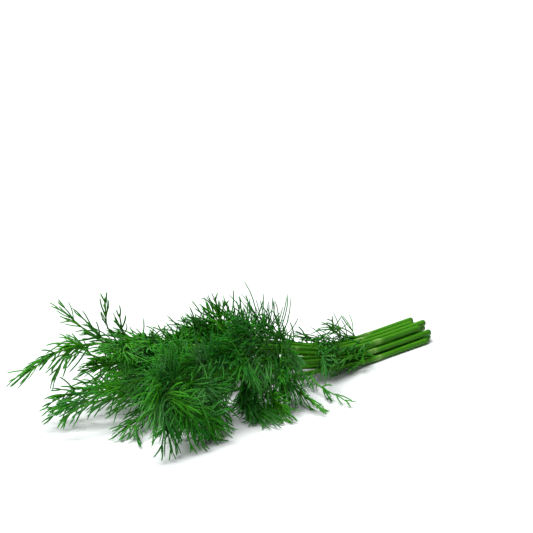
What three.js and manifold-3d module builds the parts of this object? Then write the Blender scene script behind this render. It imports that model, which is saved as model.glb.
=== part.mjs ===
// A bunch of dill, cut and laid on a flat surface. Fifteen leafy stems lie side by side: bare and round where
// they were cut, feathery at the other end. Millimetres, +Z up. The bunch lies along X, its cut ends at +X.
import * as THREE from "three";
import { mergeVertices } from "three/addons/utils/BufferGeometryUtils.js";
import Module from "manifold-3d";

const wasm = await Module();
wasm.setup();

// ---- Driving dimensions ----------------------------------------------------------------------------------

const BUNCH_MIDDLE = [11, 2.4]; // X and Y of the middle of the bunch's outline, which the origin is moved to

const PILE_ROWS = [6, 5, 4]; // stems in each row of the pile, from the surface up
const PILE_PITCH = 4.2; // from one stem's axis to the next
const PILE_HEIGHT = 1.25; // of the lowest stems' axes, low enough that their undersides lie flat
const PILE_Y = 13; // where the middle of the pile passes its neck
const PILE_SLANT = 0.2; // how much it moves towards +Y for each millimetre along X
const PILE_BEND_X = 88; // where the pile starts to rise from the surface
const PILE_NECK_X = 58; // where the stems start to spread
const PILE_BEND_LIFT = 0.6;
const PILE_NECK_LIFT = 3.5;
const PILE_NECK_SPREAD = 1.1;
const SPREAD_SHARE = 0.38; // how far from the neck to the crown the stems' next guide point lies
const SPREAD_LIFT = 1.5;
const MIDDLE_HEIGHT = 15; // of the bunch's axis, which leaves face away from

const STEM_RADIUS = 1.75; // at the cut
const STEM_TIP_RADIUS = 0.6;
const TERMINAL_LEAF = 74; // length of the leafy end of a stem
const STALK_RADIUS = 0.85; // a side leaf's stalk where it leaves its stem
const STALK_TIP_RADIUS = 0.6;
const STALK_REACH = 0.38; // how far a stalk runs on along its stem before it turns, as a share of its span
const BARE_STALK = 0.24; // share of a side leaf's stalk below its first leaflets

const LEAFLET_SHARE = 0.52; // the longest leaflet, as a share of the leafy length
const LEAFLET_LEAST = 11;
const LEAFLET_MOST = 26;
const END_LEAFLET = 12; // the last leaflet, which ends the leaf
const END_OVERLAP = 1; // how far back from the end of the leaf's axis it is rooted
const LEAFLET_ANGLES = [0.9, 0.6]; // from the leaf's axis, in radians, at the leaf's foot and at its tip
const LEAFLET_ROLL = 0.5; // how far leaflets stand out of the leaf's plane, in radians
const LEAFLET_LEAN = 0.15; // how far they lean out of the bunch
const LEAFLET_DROOP = 0.12; // how far they hang
const LEAFLET_OFFSET = 0.01; // of a pair's two roots along the leaf, each way, as a share of its length
const CLOSING = 1.4; // how fast pairs of leaflets close up towards the tip: 1 is even
const SHORTENING = 0.7; // how fast they get shorter: 1 is even
const SLIMNESS = 0.7; // how much narrower a less full leaf is: at 0 it is as wide as a full one
const ROOT_RADIUS = 0.4; // of a leaflet's own stalk, to its corners
const FORK_RADIUS = 0.7; // where a leaflet divides into its threads, to its corners
const FORK_RISE = 0.4; // of the middle between the threads
const FORK_SHARE = 0.4; // of a leaflet's length
const THREADS = 3; // of each leaflet
const THREAD_ANGLE = 0.5; // from the leaflet, in radians
const LENGTH_SPREAD = 0.15; // of leaflets' lengths, each way
const REACH_SPREAD = 0.2; // of threads' lengths
const ANGLE_SPREAD = 0.3; // of threads' angles

const GAP = 0.3; // between one stem's leaves and the next stem's
const BENDS = 60; // ways tried to bend a stalk clear of other stems
const BEND_STEP = 0.6; // how much further each goes
const ATTEMPTS = 4; // turns and lengths tried for a leaflet
const ATTEMPT_CUT = 0.05; // how much shorter each makes it
const ATTEMPT_ROLL = 0.2; // and how much further it may roll
const LAID_HEIGHT = 0.5; // height of the axis of a thread that lies on the surface
const SURFACE_SOFTNESS = 2; // how gradually a leaf bends up off the surface

const RIM_TEST = 0.5; // a point this far from the axis of a cylinder of radius 1 is on its rim
const STEM_SIDES = 5;
const STEM_STEPS = 12;
const STALK_SIDES = 4;
const STALK_STEPS = 4;
const TERMINAL_SPACING = 19; // between pairs of leaflets on the leafy end of a stem
const SIDE_SPACING = 12; // and on a side leaf
const LEAST_PAIRS = 2;

const HUE = [0.29, 0.02]; // each stem's green: the middle and how far it varies each way
const SATURATION = 0.6;
const LIGHTNESS = [0.22, 0.03];

// Each leafy stem: X of its cut end, the crown where it parts from the others, its tip, and how full its
// leafy end is. Its side leaves each have the X where they leave the stem, their own tip and their fullness.
// A full leaf is 1, and an airy, slender one 0.3. The stems follow the pile's rows, front to back.
const STEMS = [
  {
    cut: 136, crown: [-62, -6, 7], tip: [-98, -14, 2], full: 0.3,
    leaves: [
      [92, [62, -2, 3], 0.3], [46, [30, -43, 2], 0.25], [0, [-19, -45, 2], 1], [-64, [-86, -28, 2], 0.25],
    ],
  },
  {
    cut: 142, crown: [-42, -10, 18], tip: [-94, 8, 20], full: 0.5,
    leaves: [[30, [11, -45, 2], 0.8], [2, [-26, -36, 2], 1], [-22, [-50, -40, 8], 1]],
  },
  {
    cut: 138, crown: [-38, 0, 14], tip: [-110, 20, 11], full: 0.6,
    leaves: [[10, [-6, -45, 2], 1], [-45, [-70, 6, 26], 1]],
  },
  {
    cut: 145, crown: [-32, 14, 11], tip: [-104, 30, 14], full: 0.6,
    leaves: [[0, [-38, 24, 3], 1], [-15, [-60, 28, 24], 1]],
  },
  {
    cut: 139, crown: [-25, 26, 9], tip: [-78, 47, 8], full: 0.8,
    leaves: [[-4, [-30, 46, 3], 1], [-14, [-46, 54, 6], 1]],
  },
  {
    cut: 143, crown: [-10, 36, 7], tip: [-50, 57, 4], full: 1,
    leaves: [[42, [34, 40, 4], 1], [12, [4, 54, 4], 1]],
  },

  {
    cut: 140, crown: [-78, -35, 30], tip: [-47, -46, 2], full: 1,
    leaves: [
      [90, [46, -6, 10], 0.9], [20, [-4, -34, 14], 1], [-56, [-38, -34, 17], 1],
      [-65, [-84, -52, 2], 0.8], [-69, [-64, -51, 2], 0.8], [-60, [-36, -32, 5], 1],
    ],
  },
  {
    cut: 135, crown: [-56, -8, 26], tip: [-116, 8, 13], full: 0.6,
    leaves: [[-14, [-42, -26, 40], 1], [-32, [-78, -30, 28], 1]],
  },
  {
    cut: 144, crown: [-80, 24, 37], tip: [-124, 34, 22], full: 0.4,
    leaves: [
      [-22, [-65, -6, 40], 1], [-38, [-82, 0, 40], 1], [-74, [-118, 22, 31], 0.3], [-80, [-98, 28, 20], 0.3],
    ],
  },
  {
    cut: 137, crown: [-62, 28, 25], tip: [-88, 41, 40], full: 0.5,
    leaves: [[5, [-38, 38, 28], 1], [-25, [-80, 34, 22], 1]],
  },
  {
    cut: 141, crown: [-22, 34, 20], tip: [-58, 56, 14], full: 1,
    leaves: [[45, [48, 30, 14], 1], [20, [0, 52, 22], 1], [-5, [-47, 51, 24], 1]],
  },

  {
    cut: 133, crown: [-25, -18, 33], tip: [-66, -30, 37], full: 0.9,
    leaves: [[96, [42, -2, 19], 0.9], [62, [30, -24, 18], 1], [25, [8, -32, 26], 1], [-5, [-32, -42, 26], 1]],
  },
  {
    cut: 142, crown: [-64, 18, 34], tip: [-101, 31, 62], full: 0.3,
    leaves: [[10, [-17, 6, 57], 0.8], [-30, [-86, -4, 40], 1], [-60, [-84, 26, 55], 0.3]],
  },
  {
    cut: 136, crown: [-58, 26, 36], tip: [-76, 24, 65], full: 0.3,
    leaves: [[90, [36, 6, 24], 1], [22, [2, 16, 41], 0.8], [-50, [-62, 22, 52], 0.4]],
  },
  {
    cut: 140, crown: [-10, 28, 23], tip: [-44, 44, 22], full: 0.8,
    leaves: [[100, [56, 10, 29], 1], [60, [22, 22, 28], 0.9], [15, [-24, 26, 41], 1]],
  },
];

// ---- Points, directions and seeded draws -----------------------------------------------------------------

// Which turn of draw() each random size takes. Those that are drawn several times have room after them.
const DRAWS = { length: 1, lean: 2, spread: 30, reach: 40, roll: 50, hue: 90, lightness: 91 };
const SEEDS = { stem: 200, leaf: 20, pair: 2, stalk: 10 }; // how far apart the seeds of each kind stand

const vector = (xyz) => new THREE.Vector3(...xyz);

// A draw between -1 and 1, always the same for the same seed and turn.
function draw(seed, turn) {
  const wave = Math.sin(seed * 12.9898 + turn * 78.233) * 43758.5453;
  return (wave - Math.floor(wave)) * 2 - 1;
}

// A point near or under the surface is lifted, so that a leaf that reaches down bends and lies along it.
function liftedOffSurface(point) {
  const over = point.z - LAID_HEIGHT;
  const height = (point.z + LAID_HEIGHT + Math.hypot(over, SURFACE_SOFTNESS)) / 2;
  return new THREE.Vector3(point.x, point.y, height);
}

// Two directions across an axis: one towards the outside of the bunch, and one along the leaf's plane.
function acrossAxis(axis, point, roll) {
  const outward = new THREE.Vector3(0, point.y - PILE_Y, point.z - MIDDLE_HEIGHT);
  outward.addScaledVector(axis, -outward.dot(axis)).normalize();
  outward.applyAxisAngle(axis, roll);
  return { outward, sideways: new THREE.Vector3().crossVectors(axis, outward) };
}

// ---- Solids ----------------------------------------------------------------------------------------------

function solidFrom(geometry) {
  geometry.deleteAttribute("normal");
  geometry.deleteAttribute("uv");
  const welded = mergeVertices(geometry, 1e-5);
  const triVerts = [];
  for (let i = 0; i < welded.index.count; i += 3) {
    const corners = welded.index.array.slice(i, i + 3);
    if (new Set(corners).size === 3) triVerts.push(...corners);
  }
  const vertProperties = welded.getAttribute("position").array;
  const mesh = new wasm.Mesh({ numProp: 3, vertProperties, triVerts: new Uint32Array(triVerts) });
  return new wasm.Manifold(mesh);
}

// A tapered tube: a cylinder whose rings are moved onto a curve, each square to it.
function tube(curve, radii, sides, steps) {
  const shape = new THREE.CylinderGeometry(radii[0], radii[1], 1, sides, steps);
  const centres = curve.getSpacedPoints(steps);
  const { normals, binormals } = curve.computeFrenetFrames(steps);
  const position = shape.getAttribute("position");
  for (let i = 0; i < position.count; i++) {
    const ring = Math.round((0.5 - position.getY(i)) * steps);
    const moved = centres[ring].clone();
    moved.addScaledVector(normals[ring], position.getX(i));
    moved.addScaledVector(binormals[ring], position.getZ(i));
    position.setXYZ(i, ...moved);
  }
  return solidFrom(shape);
}

// A leaflet: a cylinder whose points stand in pairs, which leaves it with one corner for each thread. At its
// far end the second point of each pair is drawn out into a thread, and the middle of the end is raised.
function leafletSolid({ root, fork, tips, turn }) {
  const sides = 2 * tips.length;
  const shape = new THREE.CylinderGeometry(1, 1, 2, sides, 2);
  const position = shape.getAttribute("position");
  for (let i = 0; i < position.count; i++) {
    const level = Math.round(position.getY(i)); // -1 at the root, 0 and 1 at the fork
    const across = new THREE.Vector3(position.getX(i), 0, position.getZ(i));
    const isRim = across.length() > RIM_TEST;
    const corner = Math.round((Math.atan2(across.x, across.z) / (2 * Math.PI) + 1) * sides) % sides;
    let place = isRim ? across.multiplyScalar(level < 0 ? ROOT_RADIUS : FORK_RADIUS) : across.set(0, 0, 0);
    if (!isRim && level > 0) place.y = FORK_RISE;
    if (corner % 2 === 1) place.applyAxisAngle(THREE.Object3D.DEFAULT_UP, -(2 * Math.PI) / sides);
    place = place.applyQuaternion(turn).add(level < 0 ? root : fork);
    if (isRim && level > 0 && corner % 2 === 1) place = tips[(corner - 1) / 2];
    position.setXYZ(i, ...place);
  }
  return solidFrom(shape);
}

// ---- Keeping one stem's leaves clear of the next stem's --------------------------------------------------

const held = []; // every straight stretch placed so far: its ends, radius and stem

function hold(stem, points, radius) {
  for (let i = 1; i < points.length; i++) {
    const [a, b] = [points[i - 1], points[i]];
    held.push({ stem, a, b, radius, low: a.clone().min(b), high: a.clone().max(b) });
  }
}

// The shortest distance between the segments a-b and c-d.
function segmentDistance(a, b, c, d) {
  const [u, v, w] = [b.clone().sub(a), d.clone().sub(c), a.clone().sub(c)];
  const [uu, vv, uv, uw, vw] = [u.dot(u), v.dot(v), u.dot(v), u.dot(w), v.dot(w)];
  const square = uu * vv - uv * uv;
  let s = square > 1e-9 ? THREE.MathUtils.clamp((uv * vw - uw * vv) / square, 0, 1) : 0;
  const t = THREE.MathUtils.clamp((uv * s + vw) / vv, 0, 1);
  s = THREE.MathUtils.clamp((uv * t - uw) / uu, 0, 1);
  return w.addScaledVector(u, s).addScaledVector(v, -t).length();
}

// Whether a chain of straight stretches stays clear of every other stem.
function isClear(stem, points, radius) {
  return points.slice(1).every((b, i) => {
    const a = points[i];
    const [low, high] = [a.clone().min(b), a.clone().max(b)];
    return held.every((other) => {
      if (other.stem === stem) return true;
      const reach = radius + other.radius + GAP;
      const isPast = (k) => low[k] - reach > other.high[k] || other.low[k] - reach > high[k];
      return ["x", "y", "z"].some(isPast) || segmentDistance(a, b, other.a, other.b) >= reach;
    });
  });
}

// A leaf's tip less its last leaflet, which grows on from there.
function shortOf(tip, from) {
  return tip.clone().addScaledVector(from.clone().sub(tip).normalize(), END_LEAFLET);
}

// ---- Stems and the stalks of side leaves -----------------------------------------------------------------

function stemCurve(spec, number) {
  let row = 0;
  let place = number;
  while (place >= PILE_ROWS[row]) {
    place -= PILE_ROWS[row];
    row += 1;
  }
  const across = (place - (PILE_ROWS[row] - 1) / 2) * PILE_PITCH;
  const height = PILE_HEIGHT + row * PILE_PITCH * Math.sin(Math.PI / 3);
  const pileY = (x) => PILE_Y + PILE_SLANT * (x - PILE_NECK_X);
  const neck = vector([
    PILE_NECK_X,
    pileY(PILE_NECK_X) + across * PILE_NECK_SPREAD,
    height * PILE_NECK_SPREAD + PILE_NECK_LIFT,
  ]);
  const crown = vector(spec.crown);
  const spread = neck.clone().lerp(crown, SPREAD_SHARE);
  spread.z += SPREAD_LIFT;
  const points = [
    vector([spec.cut, pileY(spec.cut) + across, height]),
    vector([PILE_BEND_X, pileY(PILE_BEND_X) + across, height + PILE_BEND_LIFT]),
    neck,
    spread,
    crown,
    shortOf(vector(spec.tip), crown),
  ];
  return new THREE.CatmullRomCurve3(points, false, "catmullrom");
}

// A point of a tube's axis, a chain of equal straight steps. Its share of the way, at, runs from 0 to 1.
function pointAlong(line, at) {
  const steps = at * (line.length - 1);
  const step = Math.min(Math.floor(steps), line.length - 2);
  return line[step].clone().lerp(line[step + 1], steps - step);
}

// How far along a stem, from 0 to 1, it first passes a given X.
function whereAtX(line, x) {
  const step = line.findIndex((point) => point.x < x) - 1;
  return (step + (line[step].x - x) / (line[step].x - line[step + 1].x)) / (line.length - 1);
}

// A stalk leaves along its stem, turns out to its tip in one bend, and lies on the surface where it meets it.
function stalkCurve(stem, x, tip, nudge) {
  const at = whereAtX(stem.line, x);
  const root = pointAlong(stem.line, at);
  const bend = root.clone().addScaledVector(stem.curve.getTangentAt(at), STALK_REACH * root.distanceTo(tip));
  const end = shortOf(tip, bend);
  const arc = new THREE.QuadraticBezierCurve3(root, bend.add(nudge), end).getPoints(STALK_STEPS);
  return new THREE.CatmullRomCurve3([root, ...arc.slice(1).map(liftedOffSurface)], false, "catmullrom");
}

// Fewer pairs of leaflets where a leaf is short, or less full.
function pairsOf(leafy, spacing, full) {
  return Math.max(Math.round((leafy * Math.sqrt(full)) / spacing), LEAST_PAIRS);
}

// The bare stem, with its leafy end as the first of its leaves.
function growStem(spec, number) {
  const curve = stemCurve(spec, number);
  const line = curve.getSpacedPoints(STEM_STEPS);
  for (let i = 0; i < STEM_STEPS; i++) {
    hold(number, line.slice(i, i + 2), THREE.MathUtils.lerp(STEM_RADIUS, STEM_TIP_RADIUS, i / STEM_STEPS));
  }
  const leafyEnd = {
    curve,
    line,
    from: 1 - TERMINAL_LEAF / curve.getLength(),
    full: spec.full,
    pairs: pairsOf(TERMINAL_LEAF, TERMINAL_SPACING, spec.full),
  };
  const solids = [tube(curve, [STEM_RADIUS, STEM_TIP_RADIUS], STEM_SIDES, STEM_STEPS)];
  return { number, curve, line, solids, leaves: [leafyEnd] };
}

// The stalks of a stem's side leaves. Each is bent a little further, one way or another, until it is clear.
function growStalks(stem) {
  STEMS[stem.number].leaves.forEach(([x, tip, full], leaf) => {
    for (let bend = 0; bend < BENDS; bend++) {
      const seed = stem.number * SEEDS.stalk + leaf;
      const nudge = vector([0, 1, 2].map((axis) => draw(seed, bend * 3 + axis)));
      const curve = stalkCurve(stem, x, vector(tip), nudge.multiplyScalar(BEND_STEP * bend));
      const line = curve.getSpacedPoints(STALK_STEPS);
      if (isClear(stem.number, line, STALK_RADIUS)) {
        hold(stem.number, line, STALK_RADIUS);
        stem.solids.push(tube(curve, [STALK_RADIUS, STALK_TIP_RADIUS], STALK_SIDES, STALK_STEPS));
        const leafy = curve.getLength() * (1 - BARE_STALK);
        stem.leaves.push({ curve, line, from: BARE_STALK, full, pairs: pairsOf(leafy, SIDE_SPACING, full) });
        return;
      }
    }
    throw new Error(`leaf ${leaf + 1} of stem ${stem.number + 1} has no clear way`);
  });
}

// ---- Leaflets and their threads --------------------------------------------------------------------------

// Where a leaflet forks, and where its threads end. What would pass under the surface lies along it.
function leafletPoints(root, axis, roll, length, full, seed) {
  const fork = liftedOffSurface(root.clone().addScaledVector(axis, length * FORK_SHARE));
  const along = fork.clone().sub(root).normalize();
  const turn = new THREE.Quaternion().setFromAxisAngle(along, roll);
  turn.multiply(new THREE.Quaternion().setFromUnitVectors(THREE.Object3D.DEFAULT_UP, along));
  const tips = [];
  for (let thread = 0; thread < THREADS; thread++) {
    const around = (2 * Math.PI * (thread + 0.5)) / THREADS;
    const spread = THREAD_ANGLE * full ** SLIMNESS * (1 + ANGLE_SPREAD * draw(seed, DRAWS.spread + thread));
    const reach = length * (1 - FORK_SHARE) * (1 + REACH_SPREAD * draw(seed, DRAWS.reach + thread));
    const out = new THREE.Vector3().setFromSphericalCoords(reach, spread, around);
    tips.push(liftedOffSurface(out.applyQuaternion(turn).add(fork)));
  }
  return { root, fork, tips, turn };
}

// Grows a leaflet in the first of a few turns and lengths that is clear of the other stems, or not at all.
function growLeaflet(stem, root, axisAt, length, full, seed) {
  for (let attempt = 0; attempt < ATTEMPTS; attempt++) {
    const roll = Math.PI * draw(seed, DRAWS.roll + attempt);
    const shorter = length * (1 - ATTEMPT_CUT * attempt);
    const points = leafletPoints(root, axisAt(attempt), roll, shorter, full, seed);
    const { fork, tips } = points;
    const stretches = [[root, fork], ...tips.map((tip) => [fork, tip])];
    if (stretches.every((ends) => isClear(stem.number, ends, FORK_RADIUS))) {
      for (const ends of stretches) hold(stem.number, ends, FORK_RADIUS);
      stem.solids.push(leafletSolid(points));
      return;
    }
  }
}

// Leaflets stand in opposite pairs along a leaf, closer and shorter towards its tip, and one more ends it.
function growLeaf(stem, leafNumber) {
  if (leafNumber >= stem.leaves.length) return;
  const { curve, line, from, full, pairs } = stem.leaves[leafNumber];
  const leafy = curve.getLength() * (1 - from);
  const longest = THREE.MathUtils.clamp(leafy * LEAFLET_SHARE, LEAFLET_LEAST, LEAFLET_MOST);
  const leafSeed = stem.number * SEEDS.stem + leafNumber * SEEDS.leaf;
  const seedOf = (pair, side) => leafSeed + pair * SEEDS.pair + (side + 1) / 2;
  const last = pointAlong(line, 1 - END_OVERLAP / curve.getLength());
  growLeaflet(stem, last, () => curve.getTangentAt(1), END_LEAFLET, full, seedOf(pairs, 1));
  for (let pair = 0; pair < pairs; pair++) {
    const up = 1 - (1 - pair / pairs) ** CLOSING;
    const at = from + (1 - from) * up;
    const angle = THREE.MathUtils.lerp(...LEAFLET_ANGLES, up) * full ** SLIMNESS;
    for (const side of [-1, 1]) {
      const seed = seedOf(pair, side);
      const root = pointAlong(line, at + LEAFLET_OFFSET * side);
      const axis = curve.getTangentAt(at);
      const varied = 1 + LENGTH_SPREAD * draw(seed, DRAWS.length);
      const length = Math.max(longest * (1 - up) ** SHORTENING * varied, LEAFLET_LEAST);
      const axisAt = (attempt) => {
        const roll = draw(seed, DRAWS.lean + attempt) * LEAFLET_ROLL * (1 + ATTEMPT_ROLL * attempt);
        const { outward, sideways } = acrossAxis(axis, root, roll);
        const direction = axis.clone().multiplyScalar(Math.cos(angle));
        direction.addScaledVector(sideways, side * Math.sin(angle)).addScaledVector(outward, LEAFLET_LEAN);
        direction.z -= LEAFLET_DROOP;
        return direction.normalize();
      };
      growLeaflet(stem, root, axisAt, length, full, seed);
    }
  }
}

// ---- The bunch -------------------------------------------------------------------------------------------

const stems = STEMS.map(growStem);
stems.forEach(growStalks);
const mostLeaves = Math.max(...stems.map((stem) => stem.leaves.length));
for (let leaf = 0; leaf < mostLeaves; leaf++) {
  for (const stem of stems) growLeaf(stem, leaf); // all leafy ends first, so that each gets its room
}

function stemMaterial(number) {
  const hue = HUE[0] + HUE[1] * draw(number, DRAWS.hue);
  const lightness = LIGHTNESS[0] + LIGHTNESS[1] * draw(number, DRAWS.lightness);
  const color = new THREE.Color().setHSL(hue, SATURATION, lightness);
  return new THREE.MeshStandardMaterial({ color, roughness: 0.5, metalness: 0 });
}

// One leafy stem as one closed body, trimmed flat where it lies on the surface.
function stemMesh(stem) {
  const joined = wasm.Manifold.union(stem.solids).trimByPlane([0, 0, 1], 0);
  const { vertProperties, triVerts } = joined.getMesh();
  const geometry = new THREE.BufferGeometry();
  geometry.setAttribute("position", new THREE.BufferAttribute(vertProperties, 3));
  geometry.setIndex(new THREE.BufferAttribute(triVerts, 1));
  const mesh = new THREE.Mesh(geometry, stemMaterial(stem.number));
  mesh.name = `dill_stem_${String(stem.number + 1).padStart(2, "0")}`;
  return mesh;
}

const bunch = new THREE.Group();
bunch.add(...stems.map(stemMesh));
bunch.position.set(-BUNCH_MIDDLE[0], -BUNCH_MIDDLE[1], 0);

export default bunch;
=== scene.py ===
# %% [markdown]
# # A bunch of dill, thread by thread
#
# A dill leaf has no blade. It divides again and again, until only green threads are left, so even
# this small bunch has some six thousand of them. They could be scattered as copies of one leaf, but
# copies look alike and run through each other. This lesson grows them the way the plant does instead:
# stems first, then the stalks of the leaves, then leaflets on the stalks, sprays on the leaflets and
# threads on the sprays. Every step works on whole arrays, so one call makes all the threads of a leaf
# at once.
#
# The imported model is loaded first. It gives the frame that everything is placed in, and the box that
# the finished bunch should fill.

# %% The frame
import math

import bpy
import numpy as np
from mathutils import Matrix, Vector


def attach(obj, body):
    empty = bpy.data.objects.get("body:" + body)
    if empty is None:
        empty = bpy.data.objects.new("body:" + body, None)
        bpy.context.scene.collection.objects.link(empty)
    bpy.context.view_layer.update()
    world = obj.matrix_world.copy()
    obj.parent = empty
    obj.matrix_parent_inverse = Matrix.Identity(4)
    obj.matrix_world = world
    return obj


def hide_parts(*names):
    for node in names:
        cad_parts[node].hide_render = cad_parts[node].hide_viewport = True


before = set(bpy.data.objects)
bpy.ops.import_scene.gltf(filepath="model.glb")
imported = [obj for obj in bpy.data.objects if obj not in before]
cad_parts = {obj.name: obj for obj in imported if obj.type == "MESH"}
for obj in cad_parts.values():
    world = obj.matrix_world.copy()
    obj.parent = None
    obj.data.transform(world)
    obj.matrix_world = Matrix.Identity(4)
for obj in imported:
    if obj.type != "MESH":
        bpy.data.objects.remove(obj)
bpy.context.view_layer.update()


# %% [markdown]
# ## The pile of cut stems
#
# Someone picked fifteen stems, held them together and laid them down. At the cut end they lie side by
# side like a small pile of pipes, and from the neck on they part. A rigid body simulation could drop
# them, but round things pack in rows by themselves, so a few numbers do the same: how many lie in a
# row, how far apart, and where the pile lifts and opens. They are the solids' own numbers, in
# millimetres, so the finer stems lie where the plain ones are.

# %% The pile
MM = 0.001
BUNCH_MIDDLE = np.array([11.0, 2.4, 0.0])  # of the outline, which the origin is moved to
PILE_ROWS = [6, 5, 4]  # stems in each row, from the surface up
PILE_PITCH = 4.2  # between neighbours in a row
PILE_HEIGHT = 1.25  # of the lowest row's axes, before the surface holds them up
PILE_Y = 13.0  # the pile's middle at the neck
PILE_SLANT = 0.2  # how much that moves in Y for each millimetre of X
PILE_BEND_X = 88.0  # where the stems begin to lift
PILE_BEND_LIFT = 0.6
PILE_NECK_X = 58.0  # where they part
PILE_NECK_LIFT = 3.5
PILE_NECK_SPREAD = 1.1  # how much wider and higher than at the cut the pile is at its neck
print("a pile of", sum(PILE_ROWS), "stems,", PILE_PITCH, "mm apart")

# %% [markdown]
# ## What each stem bears
#
# A stem ends in a leafy tip and has side leaves on its way there. Where they go could be left to
# chance, but this bunch has a shape of its own: a dome in the middle, leaves that hang down in front,
# and airy sprigs at the far end. So each tip is placed one by one, as the solids have it, and chance is
# left to the leaflets.
#
# Each line gives the X of the cut, the crown where the leafy tip is highest, the tip, how full it is,
# and then the side leaves, as the X where one leaves its stem, its tip, and how full it is. A full
# leaf is 1, and an airy one with few threads is 0.25 to 0.5.

# %% The stems
STEMS = [
    (136, (-62, -6, 7), (-98, -14, 2), 0.3, [
        (92, (62, -2, 3), 0.3), (46, (30, -43, 2), 0.25), (0, (-19, -45, 2), 1),
        (-64, (-86, -28, 2), 0.25)]),
    (142, (-42, -10, 18), (-94, 8, 20), 0.5, [
        (30, (11, -45, 2), 0.8), (2, (-26, -36, 2), 1), (-22, (-50, -40, 8), 1)]),
    (138, (-38, 0, 14), (-110, 20, 11), 0.6, [(10, (-6, -45, 2), 1), (-45, (-70, 6, 26), 1)]),
    (145, (-32, 14, 11), (-104, 30, 14), 0.6, [(0, (-38, 24, 3), 1), (-15, (-60, 28, 24), 1)]),
    (139, (-25, 26, 9), (-78, 47, 8), 0.8, [(-4, (-30, 46, 3), 1), (-14, (-46, 54, 6), 1)]),
    (143, (-10, 36, 7), (-50, 57, 4), 1, [(42, (34, 40, 4), 1), (12, (4, 54, 4), 1)]),
    (140, (-78, -35, 30), (-47, -46, 2), 1, [
        (90, (46, -6, 10), 0.9), (20, (-4, -34, 14), 1), (-56, (-38, -34, 17), 1),
        (-65, (-84, -52, 2), 0.8), (-69, (-64, -51, 2), 0.8), (-60, (-36, -32, 5), 1)]),
    (135, (-56, -8, 26), (-116, 8, 13), 0.6, [(-14, (-42, -26, 40), 1), (-32, (-78, -30, 28), 1)]),
    (144, (-80, 24, 37), (-124, 34, 22), 0.4, [
        (-22, (-65, -6, 40), 1), (-38, (-82, 0, 40), 1),
        (-74, (-118, 22, 31), 0.3), (-80, (-98, 28, 20), 0.3)]),
    (137, (-62, 28, 25), (-88, 41, 40), 0.5, [(5, (-38, 38, 28), 1), (-25, (-80, 34, 22), 1)]),
    (141, (-22, 34, 20), (-58, 56, 14), 1, [
        (45, (48, 30, 14), 1), (20, (0, 52, 22), 1), (-5, (-47, 51, 24), 1)]),
    (133, (-25, -18, 33), (-66, -30, 37), 0.9, [
        (96, (42, -2, 19), 0.9), (62, (30, -24, 18), 1), (25, (8, -32, 26), 1),
        (-5, (-32, -42, 26), 1)]),
    (142, (-64, 18, 34), (-101, 31, 62), 0.3, [
        (10, (-17, 6, 57), 0.8), (-30, (-86, -4, 40), 1), (-60, (-84, 26, 55), 0.3)]),
    (136, (-58, 26, 36), (-76, 24, 65), 0.3, [
        (90, (36, 6, 24), 1), (22, (2, 16, 41), 0.8), (-50, (-62, 22, 52), 0.4)]),
    (140, (-10, 28, 23), (-44, 44, 22), 0.8, [
        (100, (56, 10, 29), 1), (60, (22, 22, 28), 0.9), (15, (-24, 26, 41), 1)]),
]
# How young each stem's leaves are, from -0.5 for deep blue-green to 0.5 for yellow-green.
STEM_YOUTH = [0.0, 0.0, 0.1, 0.1, 0.0, -0.1, -0.1, -0.25, 0.1, 0.15, 0.05, -0.2, 0.1, 0.05, 0.1]
print(len(STEMS), "stems with", sum(len(stem[4]) for stem in STEMS), "side leaves")

# %% [markdown]
# ## Curves as arrays
#
# A stem is a smooth bend through a few places. A curve object could hold it, but its points can only
# be asked for after it is in the scene. Here a route is an array of points at equal steps, so every
# later question is an interpolation: the point at a share of the way, the direction there, or how far
# along a stem passes a given X. A Catmull-Rom spline needs only the places that the route runs
# through and finds its own slopes.

# %% Directions and heights
TINY = 1e-9  # stands in for the length of a vector that has none
LAID_HEIGHT = 0.5  # height of the axis of a thread that lies on the surface
SURFACE_SOFTNESS = 2.0


def unit(v):
    """v / |v| along the last axis."""
    return v / np.maximum(np.linalg.norm(v, axis=-1, keepdims=True), TINY)


def square_to(v, axis):
    """The unit part of v that is square to axis: v less its share along axis, made unit."""
    return unit(v - axis * (v * axis).sum(-1, keepdims=True))


def lifted(points):
    """Points pushed softly off the surface: z becomes (z + h + sqrt((z - h)^2 + s^2)) / 2, with h the
    height of a lying thread's axis and s the softness. High up this changes little, and far below zero
    it gives h."""
    over = points[..., 2] - LAID_HEIGHT
    up = (points[..., 2] + LAID_HEIGHT + np.hypot(over, SURFACE_SOFTNESS)) / 2
    return np.concatenate([points[..., :2], up[..., None]], -1)


heights = np.array([[0, 0, -5], [0, 0, 0], [0, 0, 5], [0, 0, 50]])
print("heights", heights[:, 2], "mm are lifted to", lifted(heights)[:, 2].round(2))

# %% Points along a route
SPLINE_STEPS = 40  # between two guide points


def spaced(points, count):
    """count points at equal steps along a chain of close points, interpolated on its running length."""
    run = np.concatenate([[0], np.cumsum(np.linalg.norm(np.diff(points, axis=0), axis=1))])
    where = np.linspace(0, run[-1], count)
    return np.stack([np.interp(where, run, points[:, k]) for k in range(3)], 1)


def spline(guides, count):
    """A uniform Catmull-Rom spline through the guide points, as count equally spaced points. Between
    guides b and c it is the cubic with slopes (c - a) / 2 and (d - b) / 2. Past each end stands one
    more guide, as far on as the last step."""
    g = np.array(guides, float)
    g = np.concatenate([[2 * g[0] - g[1]], g, [2 * g[-1] - g[-2]]])
    a, b, c, d = (g[k : len(g) - 3 + k, None] for k in range(4))
    t = np.linspace(0, 1, SPLINE_STEPS)[None, :, None]
    square, cube = a - 2.5 * b + 2 * c - d / 2, 1.5 * (b - c) + (d - a) / 2
    curve = b + (c - a) / 2 * t + square * t**2 + cube * t**3
    return spaced(curve.reshape(-1, 3), count)


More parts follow.
